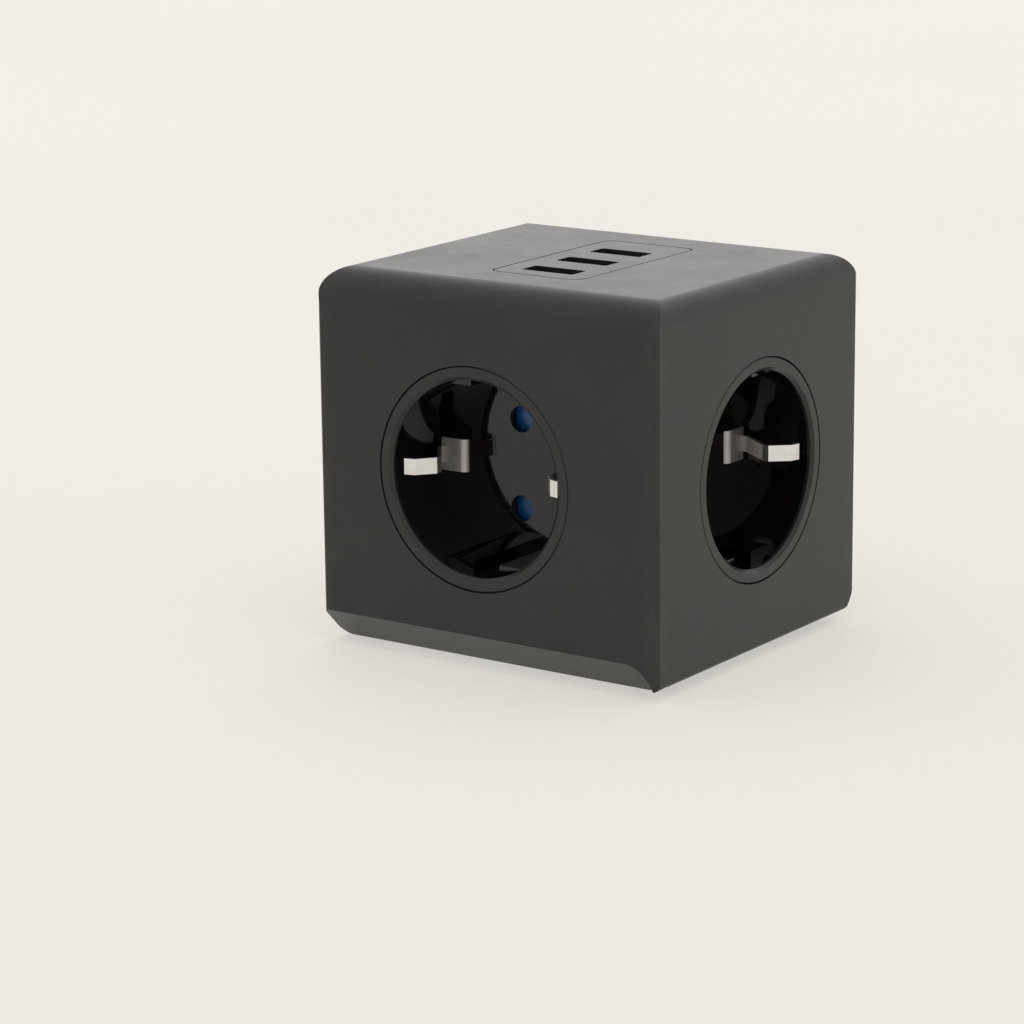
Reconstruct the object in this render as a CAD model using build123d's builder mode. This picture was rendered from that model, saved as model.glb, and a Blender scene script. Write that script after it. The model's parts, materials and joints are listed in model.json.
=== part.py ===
from build123d import *
import math
import os

os.makedirs("parts", exist_ok=True)

# ---------------------------------------------------------------------------
# Cube-shaped plug-in adapter: three type F earthed sockets, a panel of three
# charging ports on top and a type F plug on the back.  Millimetres.
# Origin: middle of the flat underside.  +Z up, front socket faces -Y,
# the plug points to +Y.
# ---------------------------------------------------------------------------

# body
BODY_W, BODY_D, BODY_H = 84.4, 77.9, 80.2
HW, HD, ZC = BODY_W / 2, BODY_D / 2, BODY_H / 2
WALL = 2.5
FRONT_TOP_R = 7.8
BACK_TOP_R = 8.0
BACK_BASE_R = 9.4
SIDE_TOP_R = 4.8
RIGHT_RISE, RIGHT_RUN = 2.4, 6.4  # shallow rise of the base to the right face
RIGHT_RISE_R = 1.0
LEFT_BASE_R = 2.5
UPRIGHT_EDGE_R = 1.0
VIEW_OVER = 0.01  # keeps the two views' flat faces apart
BASE_CHAMFER = 6.9  # along the front only, it runs out at the right edge
CHAMFER_STOP = -0.5
CHAMFER_STOP_R = 8.5

# sockets (all depths are measured inwards from the outer face)
SOCKET_Z = 40.0
FRONT_X = -2.8
RIGHT_Y = 0.3
LEFT_Y = 2.8  # clears the front socket's cup
PIN_PITCH = 19.0
PIN_OFF = PIN_PITCH / 2
HOLE_R = 23.7
BEZEL_R = 23.57
BEZEL_T = 1.4
MOUTH_R = 20.7
MOUTH_CHAMFER = 0.7
FLANGE_R = 26.2
FLANGE_T = 2.0
CUP_R = 21.3
CUP_OR = 22.3
FLOOR = 17.5
CUP_BACK = 18.7
PIN_HOLE_R = 2.8
SHELF_V, SHELF_SLOT, SHELF_TOP = 18.5, 6.6, 4.5
POST_R = 2.0
POST_END = 24.8
RETAINER_T = 1.8
RETAINER_BACK = POST_END + RETAINER_T

# sheet metal
SHEET = 0.8
TAIL_END = 31.0
LEAF = 0.7
FOOT_IN, FOOT_OUT, FOOT_BEND = 13.9, 20.0, 1.5
ARM_W = 3.4
ARM_ROOT, ARM_CREST, ARM_LIP, ARM_TIP = 19.6, 14.4, 17.3, 19.4

# shutter
SHUTTER_W, SHUTTER_L, SHUTTER_T = 7.6, 26.8, 3.2
SHUTTER_AT = 19.9
SHUTTER_BORE = 2.05

# contact and rail levels
LEAF_W = 5.0
LIVE_Z = SOCKET_Z + PIN_OFF + LEAF_W / 2
NEUTRAL_Z = SOCKET_Z - PIN_OFF - LEAF_W / 2 - SHEET
EARTH_Z = SOCKET_Z - SHEET

# rear cover and plug
COVER_W, COVER_H = 68.8, 63.4
COVER_GAP = 0.2
BOSS_DX, BOSS_DZ, BOSS_R = 61.0, 55.0, 3.4
PLUG_R = 18.2
PLUG_LEN = 17.3
PLUG_FACE = HD + PLUG_LEN
PLUG_FLANGE_R = 23.0
PLUG_FLANGE_T = 2.5
PLUG_HOLLOW_R = 13.4
PLUG_WALL = 4.0
PLUG_PIN_R = 2.4
PLUG_PIN_ROOT_R = 2.65
PLUG_PIN_LEN = 19.0
RAIL_LEG_Y = 28.2

# port panel and circuit board
PANEL_X, PANEL_Y = 1.1, 0.0
PANEL_W, PANEL_L, PANEL_R = 22.6, 44.4, 2.5
PANEL_GAP = 0.12
PORT_Y = (-14.8, -2.3, 10.2)
PORT_NAMES = ("front", "middle", "rear")
SLOT_W, SLOT_H = 12.7, 5.3
SHELL_W, SHELL_H, SHELL_T = 13.1, 5.7, 0.3
PANEL_UNDER = BODY_H - WALL
SHELL_TOP = PANEL_UNDER - 0.1
BOARD_TOP, BOARD_T = 64.0, 1.6
BOARD_UNDER = BOARD_TOP - BOARD_T
BOARD_X0, BOARD_X1, BOARD_Y0, BOARD_Y1 = -22.0, 24.0, -25.0, 24.0
POST_PTS = ((-18.0, -20.5), (20.5, -20.5), (-18.0, 19.5), (20.5, 19.5))

SOCKETS = {
    "front": Plane(origin=(FRONT_X, -HD, SOCKET_Z), x_dir=(1, 0, 0), z_dir=(0, -1, 0)),
    "right": Plane(origin=(HW, RIGHT_Y, SOCKET_Z), x_dir=(0, 1, 0), z_dir=(1, 0, 0)),
    "left": Plane(origin=(-HW, LEFT_Y, SOCKET_Z), x_dir=(0, -1, 0), z_dir=(-1, 0, 0)),
}


def rear_plane(y, z=SOCKET_Z):
    """Plane square to the plug axis at depth y, facing backwards."""
    return Plane(origin=(0, y, z), x_dir=(-1, 0, 0), z_dir=(0, 1, 0))


def section_plane(base, v=0.0):
    """Plane through a socket axis: first coordinate across, second inwards."""
    o = base.origin + base.y_dir * v
    return Plane(origin=o, x_dir=base.x_dir, z_dir=base.y_dir)


def ribbon(points, thickness):
    """Outline of a bent strip of even thickness along a centre line."""
    half = thickness / 2
    pts = [Vector(p[0], p[1]) for p in points]
    dirs = [(b - a).normalized() for a, b in zip(pts, pts[1:])]
    left, right = [], []
    for i, p in enumerate(pts):
        d0 = dirs[max(i - 1, 0)]
        d1 = dirs[min(i, len(dirs) - 1)]
        n0, n1 = Vector(-d0.Y, d0.X), Vector(-d1.Y, d1.X)
        m = (n0 + n1).normalized()
        k = half / m.dot(n0)
        left.append((p.X + m.X * k, p.Y + m.Y * k))
        right.append((p.X - m.X * k, p.Y - m.Y * k))
    return left + right[::-1]


def save(piece, name):
    piece.part.label = name
    export_step(piece.part, f"parts/{name}.step")


# ---------------------------------------------------------------------------
# housing: five-sided moulding with an opening at the back
# ---------------------------------------------------------------------------
with BuildPart() as cavity:
    with Locations((0, 0, ZC)):
        Box(BODY_W - 2 * WALL, BODY_D - 2 * WALL, BODY_H - 2 * WALL)
    fillet(cavity.edges().group_by(Axis.Z)[-1], radius=FRONT_TOP_R - WALL)
    chamfer(
        cavity.edges().group_by(Axis.Z)[0],
        length=BASE_CHAMFER - WALL * (2 - math.sqrt(2)),
    )

with BuildPart() as housing:
    # seen from the right: rounded along the top and along the back of the base
    with BuildSketch(Plane.YZ.offset(-HW - 2)) as side_view:
        with Locations((0, ZC)):
            Rectangle(BODY_D, BODY_H)
        for corner, radius in (
            ((-HD, BODY_H), FRONT_TOP_R),
            ((HD, BODY_H), BACK_TOP_R),
            ((HD, 0), BACK_BASE_R),
        ):
            fillet(side_view.vertices().sort_by_distance(corner)[0], radius=radius)
    extrude(amount=BODY_W + 4)
    # seen from the front
    with BuildSketch(Plane.XZ.offset(HD + 2)) as front_view:
        with Locations((0, ZC)):
            Rectangle(BODY_W, BODY_H + 2 * VIEW_OVER)
        with BuildLine():
            Polyline(
                (HW + 1, -1),
                (HW + 1, RIGHT_RISE + RIGHT_RISE / RIGHT_RUN),
                (HW - RIGHT_RUN - RIGHT_RUN / RIGHT_RISE, -1),
                close=True,
            )
        make_face(mode=Mode.SUBTRACT)
        for corner, radius in (
            ((-HW, BODY_H), SIDE_TOP_R),
            ((HW, BODY_H), SIDE_TOP_R),
            ((-HW, 0), LEFT_BASE_R),
            ((HW, RIGHT_RISE), RIGHT_RISE_R),
        ):
            fillet(front_view.vertices().sort_by_distance(corner)[0], radius=radius)
    extrude(amount=-(BODY_D + 4), mode=Mode.INTERSECT)
    # seen from above: slightly rounded upright edges
    with BuildSketch(Plane.XY.offset(-2)):
        RectangleRounded(
            BODY_W + 2 * VIEW_OVER, BODY_D + 2 * VIEW_OVER, UPRIGHT_EDGE_R
        )
    extrude(amount=BODY_H + 4, mode=Mode.INTERSECT)
    # chamfer along the lower front edge, with a rounded run-out on the right
    with BuildSketch(
        Plane(origin=(0, -HD, BASE_CHAMFER), x_dir=(1, 0, 0), z_dir=(0, -1, -1))
    ) as base_cut:
        with Locations((-(5 + CHAMFER_STOP) / 2, -10)):
            Rectangle(BODY_W + 5 - CHAMFER_STOP, 20)
        fillet(
            base_cut.vertices().sort_by_distance((HW - CHAMFER_STOP, 0))[0],
            radius=CHAMFER_STOP_R,
        )
    extrude(amount=12, mode=Mode.SUBTRACT)
    add(cavity.part, mode=Mode.SUBTRACT)
    # socket openings
    for side_plane in SOCKETS.values():
        with BuildSketch(side_plane):
            Circle(HOLE_R)
        extrude(amount=-(WALL + 0.5), mode=Mode.SUBTRACT)
    # opening for the port panel
    with BuildSketch(Plane(origin=(PANEL_X, PANEL_Y, BODY_H))):
        RectangleRounded(
            PANEL_W + 2 * PANEL_GAP, PANEL_L + 2 * PANEL_GAP, PANEL_R + PANEL_GAP
        )
    extrude(amount=-(WALL + 0.5), mode=Mode.SUBTRACT)
    # opening at the back for the cover
    with BuildSketch(rear_plane(HD, ZC)):
        RectangleRounded(COVER_W + 2 * COVER_GAP, COVER_H + 2 * COVER_GAP, 4.0)
    extrude(amount=-(WALL + 0.5), mode=Mode.SUBTRACT)
    # four long bosses that take the cover screws
    with BuildSketch(rear_plane(HD - WALL, ZC)):
        with GridLocations(BOSS_DX, BOSS_DZ, 2, 2):
            Circle(BOSS_R)
    extrude(amount=-(BODY_D - 2 * WALL + 0.6))
    with BuildSketch(rear_plane(HD - WALL, ZC)):
        with GridLocations(BOSS_DX, BOSS_DZ, 2, 2):
            Circle(1.4)
    extrude(amount=-15.5, mode=Mode.SUBTRACT)
    # four posts under the top wall for the circuit board
    with BuildSketch(Plane.XY.offset(BOARD_TOP)):
        with Locations(*POST_PTS):
            Circle(2.8)
    extrude(amount=BODY_H - WALL - BOARD_TOP + 0.6)
    with BuildSketch(Plane.XY.offset(BOARD_TOP)):
        with Locations(*POST_PTS):
            Circle(0.95)
    extrude(amount=8.0, mode=Mode.SUBTRACT)
save(housing, "housing")

# ---------------------------------------------------------------------------
# rear cover with the round seat of the plug
# ---------------------------------------------------------------------------
with BuildPart() as rear_cover:
    with BuildSketch(rear_plane(HD, ZC)):
        RectangleRounded(COVER_W, COVER_H, 3.8)
        with Locations((0, SOCKET_Z - ZC)):
            Circle(PLUG_R + 0.2, mode=Mode.SUBTRACT)
    extrude(amount=-WALL)
    with Locations(rear_plane(HD, ZC)):
        with GridLocations(BOSS_DX, BOSS_DZ, 2, 2):
            CounterSinkHole(radius=1.6, counter_sink_radius=3.0, depth=WALL)
    with BuildSketch(rear_plane(HD - WALL)):
        with GridLocations(41.4, 1, 2, 1):
            Circle(1.15)
    extrude(amount=1.8, mode=Mode.SUBTRACT)
save(rear_cover, "rear_cover")

with BuildPart() as cover_screws:
    for sx in (-1, 1):
        for sz in (-1, 1):
            at = Vector(sx * BOSS_DX / 2, HD, ZC + sz * BOSS_DZ / 2)
            with BuildSketch(Plane(origin=at, x_dir=(1, 0, 0), z_dir=(0, 0, 1))):
                with BuildLine():
                    Polyline(
                        (0, -0.05),
                        (2.81, -0.05),
                        (1.35, -1.725),
                        (1.35, -14.4),
                        (0.4, -15.6),
                        (0, -15.6),
                        close=True,
                    )
                make_face()
            revolve(axis=Axis(at, (0, 1, 0)))
    with BuildSketch(rear_plane(HD, ZC)):
        with GridLocations(BOSS_DX, BOSS_DZ, 2, 2):
            Rectangle(3.0, 0.7)
            Rectangle(0.7, 3.0)
    extrude(amount=-1.1, mode=Mode.SUBTRACT)
save(cover_screws, "cover_screws")

# ---------------------------------------------------------------------------
# plug: insulating body, two pins, earth strap, fixing screws
# ---------------------------------------------------------------------------
FLANGE_Y = HD - WALL - PLUG_FLANGE_T
HOLLOW_END = PLUG_FACE - PLUG_WALL
with BuildPart() as plug_body:
    with BuildSketch(rear_plane(FLANGE_Y)):
        Circle(PLUG_FLANGE_R)
    extrude(amount=PLUG_FLANGE_T)
    with BuildSketch(rear_plane(HD - WALL)):
        Circle(PLUG_R)
    extrude(amount=PLUG_FACE - HD + WALL)
    chamfer(plug_body.edges().group_by(Axis.Y)[-1], length=1.2)
    with BuildSketch(rear_plane(FLANGE_Y)):
        Circle(PLUG_HOLLOW_R)
    extrude(amount=HOLLOW_END - FLANGE_Y, mode=Mode.SUBTRACT)
    # guide grooves left and right
    with BuildSketch(rear_plane(HD)):
        with GridLocations(2 * (PLUG_R - 0.5), 1, 2, 1):
            Rectangle(5.0, 5.8)
    extrude(amount=PLUG_LEN, mode=Mode.SUBTRACT)
    # grooves for the earth contacts, top and bottom
    with BuildSketch(rear_plane(HD - WALL)):
        with GridLocations(1, 2 * 17.6, 1, 2):
            Rectangle(6.0, 3.4)
    extrude(amount=WALL + 15.9, mode=Mode.SUBTRACT)
    with BuildSketch(rear_plane(FLANGE_Y)):
        with GridLocations(1, 2 * 16.6, 1, 2):
            Rectangle(6.0, 1.4)
    extrude(amount=PLUG_FLANGE_T, mode=Mode.SUBTRACT)
    with BuildSketch(rear_plane(HOLLOW_END)):
        with GridLocations(PIN_PITCH, 1, 2, 1):
            Circle(PLUG_PIN_ROOT_R + 0.05)
    extrude(amount=PLUG_WALL, mode=Mode.SUBTRACT)
    with BuildSketch(rear_plane(FLANGE_Y)):
        with GridLocations(41.4, 1, 2, 1):
            Circle(1.35)
    extrude(amount=PLUG_FLANGE_T, mode=Mode.SUBTRACT)
save(plug_body, "plug_body")

for pin_name, sx in (("plug_pin_live", 1), ("plug_pin_neutral", -1)):
    with BuildPart() as plug_pin:
        at = Vector(sx * PIN_OFF, 0, SOCKET_Z)
        leg = RAIL_LEG_Y
        tip = PLUG_FACE + PLUG_PIN_LEN
        with BuildSketch(Plane(origin=at, x_dir=(1, 0, 0), z_dir=(0, 0, 1))):
            with BuildLine():
                Polyline(
                    (0, leg - 0.9),
                    (2.3, leg - 0.9),
                    (2.3, leg),
                    (1.4, leg),
                    (1.4, leg + SHEET),
                    (1.9, leg + SHEET),
                    (1.9, HOLLOW_END - 2.3),
                    (3.3, HOLLOW_END - 2.3),
                    (3.3, HOLLOW_END),
                    (PLUG_PIN_ROOT_R, HOLLOW_END),
                    (PLUG_PIN_ROOT_R, PLUG_FACE),
                    (PLUG_PIN_R, PLUG_FACE),
                    (PLUG_PIN_R, tip),
                    (0, tip),
                    close=True,
                )
            make_face()
        revolve(axis=Axis(at, (0, 1, 0)))
        fillet(plug_pin.edges().group_by(Axis.Y)[-1], radius=1.8)
    save(plug_pin, pin_name)

with BuildPart() as plug_earth_strap:
    with BuildSketch(
        Plane(origin=(0, 0, SOCKET_Z), x_dir=(0, 1, 0), z_dir=(1, 0, 0))
    ):
        with BuildLine():
            Polyline(
                *ribbon(
                    [
                        (53.3, 16.7),
                        (50.4, 17.9),
                        (46.4, 17.9),
                        (42.4, 16.6),
                        (30.4, 16.6),
                        (30.4, -16.6),
                        (42.4, -16.6),
                        (46.4, -17.9),
                        (50.4, -17.9),
                        (53.3, -16.7),
                    ],
                    SHEET,
                ),
                close=True,
            )
        make_face()
    extrude(amount=2.5, both=True)
save(plug_earth_strap, "plug_earth_strap")

with BuildPart() as plug_screws:
    with BuildSketch(rear_plane(FLANGE_Y)):
        with GridLocations(41.4, 1, 2, 1):
            Circle(2.0)
    extrude(amount=-1.4)
    with BuildSketch(rear_plane(FLANGE_Y)):
        with GridLocations(41.4, 1, 2, 1):
            Circle(1.05)
    extrude(amount=PLUG_FLANGE_T + 1.6)
save(plug_screws, "plug_screws")

# ---------------------------------------------------------------------------
# sockets
# ---------------------------------------------------------------------------
for side, base in SOCKETS.items():
    inward = Axis(base.origin, base.z_dir)
    section = section_plane(base)

    with BuildPart() as bezel:
        with BuildSketch(base):
            Circle(BEZEL_R)
            Circle(MOUTH_R, mode=Mode.SUBTRACT)
        extrude(amount=-BEZEL_T)
        rims = bezel.edges().group_by(inward)[-1].sort_by(SortBy.RADIUS)
        chamfer(rims[-1], length=0.3)
        rims = bezel.edges().group_by(inward)[-1].sort_by(SortBy.RADIUS)
        chamfer(rims[0], length=MOUTH_CHAMFER)
    save(bezel, f"{side}_bezel_ring")

    with BuildPart() as cup:
        # collar behind the bezel ring, flange behind the wall, cup
        with BuildSketch(base.offset(-BEZEL_T)):
            Circle(BEZEL_R)
        extrude(amount=-(WALL - BEZEL_T))
        with BuildSketch(base.offset(-WALL)):
            Circle(FLANGE_R)
        extrude(amount=-FLANGE_T)
        with BuildSketch(base.offset(-WALL)):
            Circle(CUP_OR)
        extrude(amount=-(CUP_BACK - WALL))
        with BuildSketch(base.offset(-BEZEL_T)):
            Circle(CUP_R)
        extrude(amount=-(FLOOR - BEZEL_T), mode=Mode.SUBTRACT)
        # flat guide shelves above and below, each with a slot in the middle
        with BuildSketch(base.offset(-SHELF_TOP)):
            Circle(CUP_R + 0.3)
            Rectangle(60, 2 * SHELF_V, mode=Mode.SUBTRACT)
            Rectangle(SHELF_SLOT, 60, mode=Mode.SUBTRACT)
        extrude(amount=-(FLOOR - SHELF_TOP))
        # pin holes and slots for the earth spring
        with BuildSketch(base.offset(-FLOOR)):
            with GridLocations(1, PIN_PITCH, 1, 2):
                Circle(PIN_HOLE_R)
            with GridLocations(2 * (FOOT_IN + 0.55), 1, 2, 1):
                Rectangle(2.3, 7.4)
        extrude(amount=-(CUP_BACK - FLOOR), mode=Mode.SUBTRACT)
        # pivot post on the back
        with BuildSketch(base.offset(-CUP_BACK)):
            Circle(POST_R)
        extrude(amount=-(POST_END - CUP_BACK))
        with BuildSketch(base.offset(-POST_END)):
            Circle(0.9)
        extrude(amount=4.4, mode=Mode.SUBTRACT)
    save(cup, f"{side}_socket_cup")

    with BuildPart() as earth_spring:
        bend = [
            (
                FOOT_IN + FOOT_BEND * (1 - math.sin(turn)),
                FLOOR - 0.4 + FOOT_BEND * (1 - math.cos(turn)),
            )
            for turn in (math.radians(10 * i) for i in range(10))
        ]
        with BuildSketch(section):
            with BuildLine():
                Polyline(
                    *ribbon(
                        [
                            (-FOOT_OUT, FLOOR - 0.4),
                            *((-u, w) for u, w in bend),
                            (-FOOT_IN, CUP_BACK + 0.4),
                            (FOOT_IN, CUP_BACK + 0.4),
                            *reversed(bend),
                            (FOOT_OUT, FLOOR - 0.4),
                        ],
                        SHEET,
                    ),
                    close=True,
                )
            make_face()
        extrude(amount=3.5, both=True)
        with BuildSketch(section):
            for sx in (1, -1):
                with BuildLine():
                    Polyline(
                        *ribbon(
                            [
                                (sx * ARM_ROOT, FLOOR - 0.2),
                                (sx * ARM_ROOT, 15.4),
                                (sx * ARM_CREST, 8.2),
                                (sx * ARM_CREST, 7.0),
                                (sx * ARM_LIP, 3.5),
                                (sx * ARM_TIP, 2.9),
                            ],
                            SHEET,
                        ),
                        close=True,
                    )
                make_face()
        extrude(amount=ARM_W / 2, both=True)
        # tail that leads back to the earth rail
        with BuildSketch(base.offset(-(CUP_BACK + 0.4))):
            with Locations((-10.2, SHEET / 2)):
                Rectangle(4.4, SHEET)
        extrude(amount=-(TAIL_END - CUP_BACK - 0.4))
        # clearance round the pivot post
        with BuildSketch(base.offset(-CUP_BACK)):
            Circle(2.4)
        extrude(amount=-SHEET, mode=Mode.SUBTRACT)
    save(earth_spring, f"{side}_earth_spring")

    with BuildPart() as shutter:
        with BuildSketch(base.offset(-SHUTTER_AT)):
            RectangleRounded(SHUTTER_W, SHUTTER_L, 3.0)
            Circle(SHUTTER_BORE, mode=Mode.SUBTRACT)
        extrude(amount=-SHUTTER_T)
        ramp_edges = (
            shutter.edges()
            .group_by(inward)[-1]
            .filter_by(GeomType.LINE)
            .sort_by(SortBy.LENGTH)[-2:]
        )
        chamfer(ramp_edges, length=0.9)
    save(shutter, f"{side}_shutter")

    with BuildPart() as spring:
        coil_start = base.origin - base.z_dir * (POST_END - 0.35)
        with BuildLine() as coil:
            Helix(
                pitch=0.5,
                height=0.95,
                radius=3.0,
                center=coil_start,
                direction=base.z_dir,
            )
        with BuildSketch(Plane(origin=coil.line @ 0, z_dir=coil.line % 0)):
            Circle(0.2)
        sweep(path=coil.line, is_frenet=True)
    save(spring, f"{side}_shutter_spring")

    with BuildPart() as retainer:
        with BuildSketch(base.offset(-POST_END)):
            RectangleRounded(26.0, 31.0, 3.0)
            with GridLocations(1, PIN_PITCH, 1, 2):
                RectangleRounded(6.0, 6.0, 0.8, mode=Mode.SUBTRACT)
            Circle(1.25, mode=Mode.SUBTRACT)
            with Locations((-10.2, SHEET / 2)):
                Rectangle(5.0, 1.6, mode=Mode.SUBTRACT)
        extrude(amount=-RETAINER_T)
        with BuildSketch(base.offset(-CUP_BACK)):
            with GridLocations(22.0, 26.4, 2, 2):
                Circle(1.6)
        extrude(amount=-(POST_END - CUP_BACK + 0.3))
    save(retainer, f"{side}_contact_carrier")

    for pole, sv in (("live", 1), ("neutral", -1)):
        with BuildPart() as contact:
            with BuildSketch(section_plane(base, sv * PIN_OFF)):
                with BuildLine():
                    Polyline(
                        *ribbon(
                            [
                                (-3.3, 27.0),
                                (-2.75, 29.5),
                                (-2.75, 31.0),
                                (-3.1, 37.0),
                                (3.1, 37.0),
                                (2.75, 31.0),
                                (2.75, 29.5),
                                (3.3, 27.0),
                            ],
                            LEAF,
                        ),
                        close=True,
                    )
                make_face()
            extrude(amount=LEAF_W / 2, both=True)
        save(contact, f"{side}_{pole}_contact")

with BuildPart() as carrier_screws:
    for base in SOCKETS.values():
        with BuildSketch(base.offset(-RETAINER_BACK)):
            Circle(2.0)
        extrude(amount=-1.2)
        with BuildSketch(base.offset(-RETAINER_BACK)):
            Circle(0.85)
        extrude(amount=5.4)
save(carrier_screws, "carrier_screws")

# ---------------------------------------------------------------------------
# current rails
# ---------------------------------------------------------------------------
for rail_name, level, sx, sz in (
    ("live_rail", LIVE_Z, 1, 1),
    ("neutral_rail", NEUTRAL_Z, -1, -1),
):
    with BuildPart() as rail:
        with BuildSketch(Plane.XY.offset(level)):
            with Locations((0, (RIGHT_Y + LEFT_Y) / 2)):
                Rectangle(30.0, LEFT_Y - RIGHT_Y + 6.0)
            with Locations((FRONT_X, -6.2)):
                Rectangle(6.0, 8.6)
            with Locations((sx * PIN_OFF, (1.0 + RAIL_LEG_Y + SHEET) / 2)):
                Rectangle(6.0, RAIL_LEG_Y + SHEET - 1.0)
        extrude(amount=SHEET)
        leg_plane = rear_plane(RAIL_LEG_Y)
        outer = abs(level + (SHEET if sz > 0 else 0) - SOCKET_Z)
        with BuildSketch(leg_plane):
            with Locations((-sx * PIN_OFF, sz * (outer - 4.0) / 2)):
                Rectangle(6.0, outer + 4.0)
            with Locations((-sx * PIN_OFF, 0)):
                Circle(1.5, mode=Mode.SUBTRACT)
        extrude(amount=SHEET)
    save(rail, rail_name)

with BuildPart() as earth_rail:
    with BuildSketch(Plane.XY.offset(EARTH_Z)):
        with Locations((0.1, -7.95)):
            Rectangle(29.8, 3.5)
        with Locations((13.3, -9.6)):
            Rectangle(3.4, 6.8)
        with Locations((0, 11.9)):
            Rectangle(6.0, 36.2)
        with Locations((-7.4, 11.7)):
            Rectangle(14.8, 3.6)
    extrude(amount=SHEET)
save(earth_rail, "earth_rail")

# ---------------------------------------------------------------------------
# charging port panel, ports and circuit board
# ---------------------------------------------------------------------------
with BuildPart() as port_panel:
    with BuildSketch(Plane(origin=(PANEL_X, PANEL_Y, PANEL_UNDER))):
        RectangleRounded(PANEL_W, PANEL_L, PANEL_R)
    extrude(amount=WALL)
    chamfer(port_panel.edges().group_by(Axis.Z)[-1], length=0.3)
    with BuildSketch(Plane(origin=(PANEL_X, PANEL_Y, PANEL_UNDER))):
        RectangleRounded(PANEL_W + 3.6, PANEL_L + 3.6, PANEL_R + 1)
    extrude(amount=-1.5)
    for y in PORT_Y:
        with BuildSketch(Plane(origin=(PANEL_X, y, BODY_H))):
            RectangleRounded(SLOT_W, SLOT_H, 0.5)
        extrude(amount=-WALL, mode=Mode.SUBTRACT)
        with BuildSketch(Plane(origin=(PANEL_X, y, PANEL_UNDER))):
            Rectangle(SHELL_W + 0.6, SHELL_H + 0.6)
        extrude(amount=-1.5, mode=Mode.SUBTRACT)
save(port_panel, "port_panel")

for port, y in zip(PORT_NAMES, PORT_Y):
    with BuildPart() as shell:
        with BuildSketch(Plane(origin=(PANEL_X, y, BOARD_TOP))):
            RectangleRounded(SHELL_W, SHELL_H, 0.6)
            RectangleRounded(
                SHELL_W - 2 * SHELL_T, SHELL_H - 2 * SHELL_T, 0.3, mode=Mode.SUBTRACT
            )
        extrude(amount=SHELL_TOP - BOARD_TOP)
    save(shell, f"{port}_port_shell")

    with BuildPart() as tongue:
        with BuildSketch(Plane(origin=(PANEL_X, y, BOARD_TOP))):
            Rectangle(12.3, 4.9)
        extrude(amount=2.5)
        with BuildSketch(Plane(origin=(PANEL_X, y + 0.95, BOARD_TOP + 2.5))):
            Rectangle(11.1, 1.84)
        extrude(amount=9.9)
        chamfer(tongue.edges().group_by(Axis.Z)[-1], length=0.3)
    save(tongue, f"{port}_port_tongue")

    with BuildPart() as strips:
        with BuildSketch(Plane(origin=(PANEL_X, y + 0.95 - 0.92 - 0.1, BOARD_TOP + 2.5))):
            with GridLocations(2.33, 1, 4, 1):
                Rectangle(1.1, 0.2)
        extrude(amount=9.2)
    save(strips, f"{port}_port_contacts")

with BuildPart() as board:
    with BuildSketch(Plane.XY.offset(BOARD_UNDER)):
        with Locations(((BOARD_X0 + BOARD_X1) / 2, (BOARD_Y0 + BOARD_Y1) / 2)):
            RectangleRounded(BOARD_X1 - BOARD_X0, BOARD_Y1 - BOARD_Y0, 2.0)
        with Locations(*POST_PTS):
            Circle(1.2, mode=Mode.SUBTRACT)
    extrude(amount=BOARD_T)
save(board, "circuit_board")

with BuildPart() as board_screws:
    with BuildSketch(Plane.XY.offset(BOARD_UNDER)):
        with Locations(*POST_PTS):
            Circle(2.0)
    extrude(amount=-1.3)
    with BuildSketch(Plane.XY.offset(BOARD_UNDER)):
        with Locations(*POST_PTS):
            Circle(0.85)
    extrude(amount=8.5)
save(board_screws, "board_screws")

CORE_X, CORE_Y = -13.0, -3.0
with BuildPart() as core:
    with BuildSketch(Plane(origin=(CORE_X, CORE_Y, BOARD_TOP))):
        Rectangle(6.0, 15.0)
    extrude(amount=2.2)
    with BuildSketch(Plane(origin=(CORE_X, CORE_Y, BOARD_TOP + 2.2))):
        Circle(2.6)
        with GridLocations(1, 13.1, 1, 2):
            Rectangle(6.0, 1.9)
    extrude(amount=7.4)
    with BuildSketch(Plane(origin=(CORE_X, CORE_Y, BOARD_TOP + 9.6))):
        Rectangle(6.0, 15.0)
    extrude(amount=2.2)
save(core, "transformer_core")

with BuildPart() as winding:
    with BuildSketch(Plane(origin=(CORE_X, CORE_Y, BOARD_TOP + 2.3))):
        Circle(5.2)
        Circle(2.75, mode=Mode.SUBTRACT)
    extrude(amount=7.2)
save(winding, "transformer_winding")

for cap_name, cx, cy, cr, ch in (
    ("input_capacitor", -13.0, 12.0, 4.0, 11.0),
    ("output_capacitor", 17.0, -9.0, 3.2, 10.0),
):
    with BuildPart() as capacitor:
        with BuildSketch(Plane(origin=(cx, cy, BOARD_TOP))):
            Circle(cr)
        extrude(amount=ch)
        fillet(capacitor.edges().group_by(Axis.Z)[-1], radius=0.6)
    save(capacitor, cap_name)

for chip_name, cx, cy, cw, cl, ch, legs in (
    ("bridge_rectifier", 17.0, 3.0, 4.6, 6.4, 2.4, 2),
    ("controller_chip", 17.0, 12.5, 3.9, 4.9, 1.5, 4),
):
    with BuildPart() as chip:
        with BuildSketch(Plane(origin=(cx, cy, BOARD_TOP + 0.2))):
            Rectangle(cw, cl)
        extrude(amount=ch)
        with BuildSketch(Plane(origin=(cx, cy, BOARD_TOP))):
            with GridLocations(1, cl / legs, 1, legs):
                Rectangle(cw + 2.2, 0.5)
        extrude(amount=0.5)
    save(chip, chip_name)

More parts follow.
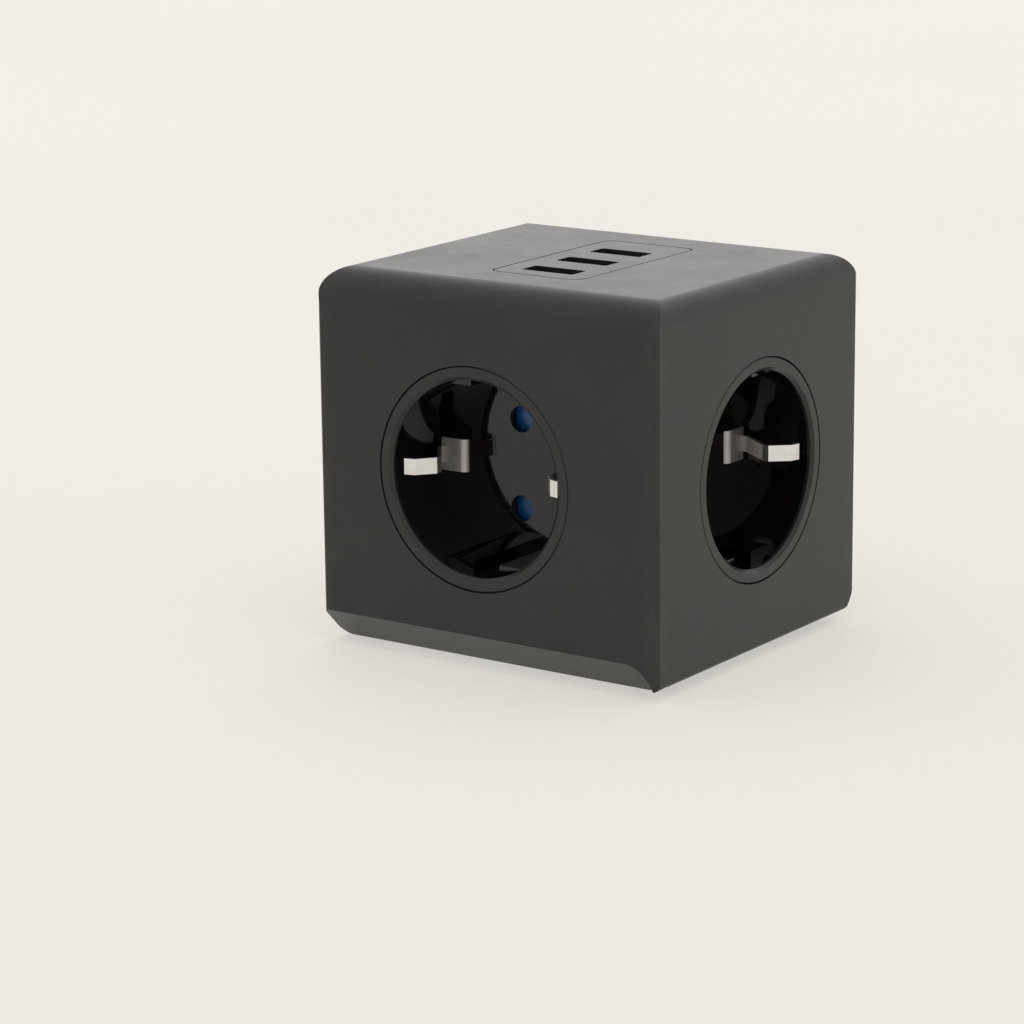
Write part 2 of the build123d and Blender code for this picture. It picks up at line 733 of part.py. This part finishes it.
with BuildPart() as fuse:
    fx, fy, fz = -13.0, -15.0, BOARD_TOP + 2.1
    with BuildSketch(Plane(origin=(fx, fy, fz), x_dir=(0, 1, 0), z_dir=(1, 0, 0))):
        Circle(1.7)
    extrude(amount=4.0, both=True)
    for sx in (-1, 1):
        with BuildSketch(
            Plane(origin=(fx + sx * 3.4, fy, fz), x_dir=(0, 1, 0), z_dir=(1, 0, 0))
        ):
            Circle(1.9)
        extrude(amount=0.8, both=True)
        with BuildSketch(Plane(origin=(fx + sx * 3.4, fy, BOARD_TOP))):
            Circle(0.35)
        extrude(amount=1.0)
save(fuse, "board_fuse")

for lead_name, lx, z0 in (
    ("live_lead", PIN_OFF, LIVE_Z + SHEET),
    ("neutral_lead", -PIN_OFF, NEUTRAL_Z + SHEET),
):
    with BuildPart() as lead:
        with BuildSketch(Plane(origin=(lx, 15.0, z0))):
            Circle(0.9)
        extrude(amount=BOARD_UNDER - z0)
    save(lead, lead_name)
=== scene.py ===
import json
import math

import bpy
from mathutils import Matrix, Vector

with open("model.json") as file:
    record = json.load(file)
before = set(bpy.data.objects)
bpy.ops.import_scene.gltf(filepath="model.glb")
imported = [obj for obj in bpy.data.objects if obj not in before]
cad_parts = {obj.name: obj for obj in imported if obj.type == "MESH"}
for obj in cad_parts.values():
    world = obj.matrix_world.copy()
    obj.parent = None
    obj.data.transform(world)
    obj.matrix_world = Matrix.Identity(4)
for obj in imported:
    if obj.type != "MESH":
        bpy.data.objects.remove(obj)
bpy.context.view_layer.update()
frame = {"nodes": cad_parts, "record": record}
scene = bpy.context.scene
scene.view_settings.view_transform = "Standard"

# body outline and sockets, in metres, for the masks of wear and for the painted shade deep in the sockets
HALF_X, HALF_Y, HEIGHT = 0.0422, 0.03895, 0.0802
SOCKETS = {
    "front": (Vector((-0.0028, -0.03895, 0.040)), Vector((1, 0, 0)), Vector((0, 0, 1)), Vector((0, 1, 0))),
    "right": (Vector((0.0422, 0.0003, 0.040)), Vector((0, 1, 0)), Vector((0, 0, 1)), Vector((-1, 0, 0))),
    "left": (Vector((-0.0422, 0.0028, 0.040)), Vector((0, -1, 0)), Vector((0, 0, 1)), Vector((1, 0, 0))),
}


# ---------------------------------------------------------------- materials
class Tree:
    """A material's node tree, with short forms for the nodes that recur. Sizes are in mm."""

    def __init__(self, name):
        self.mat = bpy.data.materials.new(name)
        self.mat.use_nodes = True
        self.nodes = self.mat.node_tree.nodes
        self.links = self.mat.node_tree.links
        self.bsdf = self.nodes["Principled BSDF"]
        self.at = self.nodes.new("ShaderNodeTexCoord").outputs["Object"]

    def put(self, socket, value):
        if isinstance(value, bpy.types.NodeSocket):
            self.links.new(value, socket)
        elif isinstance(value, (tuple, list)) and len(value) == 3 and socket.type == "RGBA":
            socket.default_value = (*value, 1.0)
        else:
            socket.default_value = value

    def set(self, **values):
        for key, value in values.items():
            self.put(self.bsdf.inputs[key.replace("_", " ")], value)

    def mapped(self, scale=(1, 1, 1), shift=(0, 0, 0), turn=(0, 0, 0), at=None):
        n = self.nodes.new("ShaderNodeMapping")
        self.put(n.inputs["Vector"], at or self.at)
        n.inputs["Location"].default_value = shift
        n.inputs["Rotation"].default_value = turn
        n.inputs["Scale"].default_value = scale
        return n.outputs[0]

    def noise(self, size, detail=2.0, rough=0.5, stretch=(1, 1, 1), shift=(0, 0, 0), at=None, warp=0.0):
        n = self.nodes.new("ShaderNodeTexNoise")
        vec = self.mapped(stretch, shift, at=at)
        self.put(n.inputs["Vector"], vec)
        n.inputs["Scale"].default_value = 1000.0 / size
        n.inputs["Detail"].default_value = detail
        n.inputs["Roughness"].default_value = rough
        n.inputs["Distortion"].default_value = warp
        return n.outputs[0]

    def cells(self, size, shift=(0, 0, 0), feature="F1", at=None):
        n = self.nodes.new("ShaderNodeTexVoronoi")
        n.feature = feature
        self.put(n.inputs["Vector"], self.mapped(shift=shift, at=at))
        n.inputs["Scale"].default_value = 1000.0 / size
        return n.outputs["Distance"]

    def math(self, op, a, b=0.0, clamp=False):
        n = self.nodes.new("ShaderNodeMath")
        n.operation = op
        n.use_clamp = clamp
        self.put(n.inputs[0], a)
        self.put(n.inputs[1], b)
        return n.outputs[0]

    def fit(self, value, lo, hi, to_lo=0.0, to_hi=1.0, smooth=False):
        n = self.nodes.new("ShaderNodeMapRange")
        n.interpolation_type = "SMOOTHSTEP" if smooth else "LINEAR"
        self.put(n.inputs["Value"], value)
        n.inputs["From Min"].default_value = lo
        n.inputs["From Max"].default_value = hi
        n.inputs["To Min"].default_value = to_lo
        n.inputs["To Max"].default_value = to_hi
        return n.outputs[0]

    def blend(self, fac, a, b):
        n = self.nodes.new("ShaderNodeMix")
        n.data_type = "RGBA"
        self.put(n.inputs[0], fac)
        self.put(n.inputs[6], a)
        self.put(n.inputs[7], b)
        return n.outputs[2]

    def bump(self, height, depth, strength=1.0, over=None):
        n = self.nodes.new("ShaderNodeBump")
        n.inputs["Strength"].default_value = strength
        n.inputs["Distance"].default_value = depth / 1000.0
        self.put(n.inputs["Height"], height)
        if over is not None:
            self.put(n.inputs["Normal"], over)
        return n.outputs[0]

    def xyz(self, at=None):
        n = self.nodes.new("ShaderNodeSeparateXYZ")
        self.put(n.inputs[0], at or self.at)
        return n.outputs[0], n.outputs[1], n.outputs[2]

    def along(self, point, axis):
        """Distance from a point along an axis, in metres."""
        sub = self.nodes.new("ShaderNodeVectorMath")
        sub.operation = "SUBTRACT"
        self.put(sub.inputs[0], self.at)
        sub.inputs[1].default_value = point
        dot = self.nodes.new("ShaderNodeVectorMath")
        dot.operation = "DOT_PRODUCT"
        self.put(dot.inputs[0], sub.outputs[0])
        dot.inputs[1].default_value = axis
        return dot.outputs["Value"]


def box_edges(t, width):
    """1 on the body's outer edges, falling to 0 a little way in."""
    x, y, z = t.xyz()
    a = t.math("SUBTRACT", HALF_X, t.math("ABSOLUTE", x))
    b = t.math("SUBTRACT", HALF_Y, t.math("ABSOLUTE", y))
    c = t.math("MINIMUM", z, t.math("SUBTRACT", HEIGHT, z))
    low, high = t.math("MINIMUM", a, b), t.math("MAXIMUM", a, b)
    second = t.math("MAXIMUM", low, t.math("MINIMUM", high, c))
    return t.fit(second, 0.0006, width / 1000.0, 1.0, 0.0, smooth=True)


def moulded(name, colour, rough, shift, grain=0.24, depth=0.012, edges=None):
    """Matt moulded plastic: spark-eroded grain, soft handling marks, rubbed edges."""
    t = Tree(name)
    soft = t.noise(26, 4, 0.55, shift=shift)
    marks = t.noise(5.5, 5, 0.62, shift=shift, warp=0.6)
    fine = t.noise(grain, 2, 0.6, shift=shift)
    pits = t.cells(grain * 1.7, shift=shift)
    dark = tuple(c * 0.86 for c in colour)
    pale = tuple(c * 1.14 for c in colour)
    tint = t.blend(t.fit(soft, 0.32, 0.68), dark, pale)
    r = t.math("ADD", t.fit(soft, 0.3, 0.7, rough - 0.03, rough + 0.035), t.fit(marks, 0.35, 0.7, -0.018, 0.018))
    if edges:
        rub = t.math("MULTIPLY", box_edges(t, edges), t.fit(t.noise(9, 4, 0.6, shift=shift), 0.36, 0.66))
        tint = t.blend(rub, tint, tuple(c * 1.55 for c in colour))
        r = t.math("SUBTRACT", r, t.math("MULTIPLY", rub, 0.06))
    t.set(Base_Color=tint, Roughness=r)
    under = t.bump(pits, depth * 0.7, 0.35)
    t.put(t.bsdf.inputs["Normal"], t.bump(fine, depth, 0.4, over=under))
    return t


def metal(name, colour, rough, shift, lines=(1, 1, 18), size=0.9, depth=0.004, dull=None, painted_recess_shade=False):
    """Plated or stamped metal: rolling lines along one axis, tarnish and wipe marks, and optionally painted shade
    on what lies deep in the socket.
    """
    t = Tree(name)
    grain = t.noise(size, 3, 0.65, stretch=lines, shift=shift)
    wipe = t.noise(3.2, 4, 0.6, shift=shift, warp=0.8)
    cloud = t.noise(9, 3, 0.55, shift=shift)
    dull = dull or tuple(c * 0.82 for c in colour)
    tint = t.blend(t.fit(cloud, 0.36, 0.7), colour, dull)
    r = t.math("ADD", t.fit(grain, 0.3, 0.7, rough - 0.04, rough + 0.05), t.fit(wipe, 0.45, 0.75, 0.0, 0.07))
    if painted_recess_shade:
        # painted shade: what lies deep in the socket is painted darker and made rougher, the ramps near the mouth
        # stay bright
        x, y, _ = t.xyz()
        a = t.math("SUBTRACT", HALF_X, t.math("ABSOLUTE", x))
        b = t.math("SUBTRACT", HALF_Y, t.math("ABSOLUTE", y))
        deep = t.fit(t.math("MINIMUM", a, b), 0.0075, 0.0150, smooth=True)
        tint = t.blend(deep, tint, tuple(c * 0.62 for c in colour))
        r = t.math("ADD", r, t.math("MULTIPLY", deep, 0.16))
    t.set(Base_Color=tint, Metallic=1.0, Roughness=r)
    t.put(t.bsdf.inputs["Normal"], t.bump(grain, depth, 0.5))
    return t


def cup(name, side):
    """Polished black moulding. The floor carries faint scuffs round the pin holes."""
    o, u, v, w = SOCKETS[side]
    t = Tree(name)
    shift = {"front": (0.2, 0.0, 0.1), "right": (1.3, 0.4, 0.2), "left": (2.1, 0.7, 0.5)}[side]
    a, b, c = t.along(o, u), t.along(o, v), t.along(o, w)
    d = t.math("SUBTRACT", t.math("ABSOLUTE", b), 0.0095)
    reach = t.math("SQRT", t.math("ADD", t.math("MULTIPLY", a, a), t.math("MULTIPLY", d, d)))
    near = t.fit(reach, 0.0030, 0.0068, 1.0, 0.0, smooth=True)
    deep = t.fit(c, 0.0172, 0.0174)
    hair = t.noise(0.5, 3, 0.7, stretch=(1.0, 1.0, 0.12) if side != "front" else (0.12, 1.0, 1.0), shift=shift, warp=1.2)
    scuff = t.math("MULTIPLY", t.math("MULTIPLY", near, deep), t.fit(hair, 0.56, 0.64))
    film = t.noise(7, 4, 0.6, shift=shift, warp=0.5)
    # the wall is rubbed lengthwise where plug bodies slide in
    slide = t.math("MULTIPLY", t.fit(c, 0.002, 0.011, 1.0, 0.0, smooth=True), t.fit(t.noise(0.8, 3, 0.65, stretch=(1, 1, 1), shift=shift), 0.55, 0.68))
    r = t.math("ADD", t.fit(film, 0.35, 0.7, 0.035, 0.065), t.math("ADD", t.math("MULTIPLY", scuff, 0.16), t.math("MULTIPLY", slide, 0.05)))
    t.set(Base_Color=t.blend(scuff, t.blend(t.fit(film, 0.3, 0.7), (0.0036, 0.0022, 0.0021), (0.0050, 0.0032, 0.0031)), (0.012, 0.0115, 0.011)), Roughness=r)
    t.put(t.bsdf.inputs["Normal"], t.bump(t.noise(2.4, 2, 0.5, shift=shift), 0.0006, 0.5))
    return t


def build_materials():
    made = {}
    made["body_grey"] = moulded("moulded_grey", (0.0178, 0.0174, 0.0160), 0.26, (0, 0, 0), depth=0.003, edges=5.0)
    made["body_grey"].set(Specular_IOR_Level=0.36)
    for side in SOCKETS:
        made["cup_black:" + side] = cup("polished_black_" + side, side)
    made["plug_black"] = moulded("moulded_black", (0.0085, 0.0083, 0.008), 0.40, (3, 1, 2), grain=0.3, depth=0.016)
    made["port_black"] = moulded("port_insert", (0.006, 0.006, 0.006), 0.34, (5, 2, 1), grain=0.16, depth=0.006)

    t = moulded("shutter_blue", (0.003, 0.055, 0.185), 0.27, (4, 4, 1), grain=0.2, depth=0.005)
    made["shutter_blue"] = t

    # the earth springs get painted shade: their parts deep in the socket are painted darker
    made["earth_nickel"] = metal("spring_nickel", (0.83, 0.81, 0.785), 0.34, (0, 1, 0), lines=(1, 1, 0.08), size=0.35, depth=0.003, painted_recess_shade=True)
    made["shell_nickel"] = metal("shell_nickel", (0.62, 0.615, 0.60), 0.26, (1, 1, 0), lines=(0.1, 1, 1), size=0.4, depth=0.003)
    made["pin_nickel"] = metal("pin_nickel", (0.80, 0.775, 0.73), 0.20, (2, 1, 0), lines=(1, 0.07, 1), size=0.4, depth=0.003, dull=(0.60, 0.56, 0.49))
    made["contact_gold"] = metal("contact_gold", (0.86, 0.62, 0.26), 0.24, (3, 1, 0), lines=(1, 1, 0.1), size=0.3)
    made["rail_brass"] = metal("rail_brass", (0.74, 0.53, 0.25), 0.30, (4, 1, 0), lines=(0.08, 1, 1), size=0.5, dull=(0.42, 0.27, 0.12))
    made["screw_steel"] = metal("screw_zinc", (0.56, 0.57, 0.60), 0.32, (5, 1, 0), lines=(1, 1, 1), size=0.5, depth=0.006, dull=(0.40, 0.41, 0.43))
    made["spring_steel"] = metal("spring_wire", (0.52, 0.52, 0.53), 0.28, (6, 1, 0), lines=(1, 1, 1), size=0.3)

    made["carrier_ivory"] = moulded("carrier_ivory", (0.62, 0.57, 0.46), 0.45, (6, 2, 2), grain=0.3, depth=0.012)

    t = Tree("board_mask")
    weave = t.math("ADD", t.noise(0.6, 1, 0.5, stretch=(1, 0.1, 1)), t.noise(0.6, 1, 0.5, stretch=(0.1, 1, 1)))
    tracks = t.fit(t.noise(2.2, 1, 0.3, stretch=(0.25, 1, 1), shift=(7, 0, 0)), 0.5, 0.53)
    t.set(
        Base_Color=t.blend(tracks, (0.006, 0.055, 0.02), (0.014, 0.10, 0.034)),
        Roughness=t.fit(weave, 0.7, 1.3, 0.26, 0.36),
    )
    t.put(t.bsdf.inputs["Normal"], t.bump(tracks, 0.03, 0.7, over=t.bump(weave, 0.01, 0.5)))
    made["board_green"] = t

    t = Tree("sintered_ferrite")
    fleck = t.noise(0.35, 3, 0.7)
    t.set(
        Base_Color=t.blend(t.fit(fleck, 0.35, 0.65), (0.010, 0.010, 0.011), (0.028, 0.028, 0.030)),
        Roughness=t.fit(fleck, 0.3, 0.7, 0.48, 0.66),
    )
    t.put(t.bsdf.inputs["Normal"], t.bump(fleck, 0.03, 0.7))
    made["core_ferrite"] = t

    t = Tree("wrapped_film")
    laps = t.nodes.new("ShaderNodeTexWave")
    laps.bands_direction = "Z"
    t.put(laps.inputs["Vector"], t.at)
    laps.inputs["Scale"].default_value = 1000.0 / 7.0
    laps.inputs["Distortion"].default_value = 0.6
    t.set(
        Base_Color=t.blend(t.fit(t.noise(4, 3, 0.6), 0.35, 0.7), (0.60, 0.41, 0.03), (0.72, 0.52, 0.06)),
        Roughness=t.fit(laps.outputs["Fac"], 0, 1, 0.28, 0.40),
    )
    t.put(t.bsdf.inputs["Normal"], t.bump(laps.outputs["Fac"], 0.08, 0.6))
    made["winding_tape"] = t

    t = Tree("shrink_sleeve")
    crease = t.noise(1.4, 3, 0.6, stretch=(1, 1, 0.2))
    t.set(
        Base_Color=t.blend(t.fit(crease, 0.35, 0.7), (0.008, 0.009, 0.022), (0.016, 0.018, 0.036)),
        Roughness=t.fit(crease, 0.3, 0.7, 0.16, 0.30),
    )
    t.put(t.bsdf.inputs["Normal"], t.bump(crease, 0.03, 0.6))
    made["capacitor_sleeve"] = t

    made["chip_black"] = moulded("chip_resin", (0.012, 0.012, 0.0125), 0.5, (8, 1, 2), grain=0.12, depth=0.008)

    t = Tree("glazed_fuse")
    speck = t.noise(0.5, 3, 0.6)
    t.set(
        Base_Color=t.blend(t.fit(speck, 0.35, 0.7), (0.47, 0.33, 0.17), (0.38, 0.25, 0.12)),
        Roughness=t.fit(speck, 0.3, 0.7, 0.14, 0.26),
    )
    t.put(t.bsdf.inputs["Normal"], t.bump(t.noise(1.2, 2), 0.02, 0.5))
    made["fuse_tan"] = t

    made["lead_live"] = moulded("lead_brown", (0.10, 0.035, 0.012), 0.42, (9, 1, 2), grain=0.3, depth=0.01)
    made["lead_neutral"] = moulded("lead_blue", (0.008, 0.045, 0.26), 0.42, (9, 3, 2), grain=0.3, depth=0.01)
    return {key: t.mat for key, t in made.items()}


materials = build_materials()
slot_of = {s["node"]: s["material_slot"] for s in frame["record"]["subparts"]}
for name, obj in frame["nodes"].items():
    key = slot_of[name]
    if key == "cup_black":
        key += ":" + name.split("_")[0]
    obj.data.materials.clear()
    obj.data.materials.append(materials[key])

# ---------------------------------------------------------------- stage
floor_mesh = bpy.data.meshes.new("floor")
R = 6.0
floor_mesh.from_pydata([(-R, -R, 0), (R, -R, 0), (R, R, 0), (-R, R, 0)], [], [(0, 1, 2, 3)])
floor = bpy.data.objects.new("floor", floor_mesh)
floor.location.z = -0.0002
scene.collection.objects.link(floor)
t = Tree("pale_floor")
t.set(
    Base_Color=t.blend(t.fit(t.noise(320, 1, 0.5), 0.35, 0.65), (0.355, 0.345, 0.325), (0.375, 0.365, 0.345)),
    Roughness=0.85,
    Emission_Color=(1.0, 0.972, 0.916),
    Emission_Strength=0.51,
)
floor_mesh.materials.append(t.mat)

# ---------------------------------------------------------------- light
def add_light(level, lift):
    """Even white surround, a little brighter low down behind the object."""
    world = bpy.data.worlds.new("studio")
    scene.world = world
    world.use_nodes = True
    nodes, links = world.node_tree.nodes, world.node_tree.links
    coord = nodes.new("ShaderNodeTexCoord")
    toward = nodes.new("ShaderNodeVectorMath")
    toward.operation = "DOT_PRODUCT"
    links.new(coord.outputs["Generated"], toward.inputs[0])
    toward.inputs[1].default_value = (-0.5624, 0.7913, 0.2398)
    rise = nodes.new("ShaderNodeMapRange")
    rise.interpolation_type = "SMOOTHSTEP"
    links.new(toward.outputs["Value"], rise.inputs["Value"])
    rise.inputs["From Min"].default_value = 0.45
    rise.inputs["From Max"].default_value = 0.92
    rise.inputs["To Min"].default_value = level
    rise.inputs["To Max"].default_value = level + lift
    nodes["Background"].inputs["Color"].default_value = (1.0, 0.985, 0.96, 1)
    links.new(rise.outputs[0], nodes["Background"].inputs["Strength"])


add_light(0.87, 0.19)


# ---------------------------------------------------------------- camera
def add_camera():
    azimuth, elevation, roll = (math.radians(d) for d in (35.4012656, 13.8761719, -0.633732454))
    scale = 83.8 / 69.0
    back = Vector((math.sin(azimuth) * math.cos(elevation), -math.cos(azimuth) * math.cos(elevation), math.sin(elevation)))
    level = (-back).cross(Vector((0, 0, 1))).normalized()
    rise = level.cross(-back)
    right = math.cos(roll) * level + math.sin(roll) * rise
    up = -math.sin(roll) * level + math.cos(roll) * rise
    place = Vector((0, 0, 40.1)) + scale * (618.718033 * back - 13.7416625 * right - 11.5695728 * up)
    data = bpy.data.cameras.new("camera")
    data.sensor_width = 36.0
    data.lens = 36.0 * 3540.65405 / 1024.0
    data.clip_start, data.clip_end = 0.01, 50.0
    cam = bpy.data.objects.new("camera", data)
    matrix = Matrix((right, up, back)).transposed().to_4x4()
    matrix.translation = place / 1000.0
    cam.matrix_world = matrix
    scene.collection.objects.link(cam)
    scene.camera = cam


add_camera()
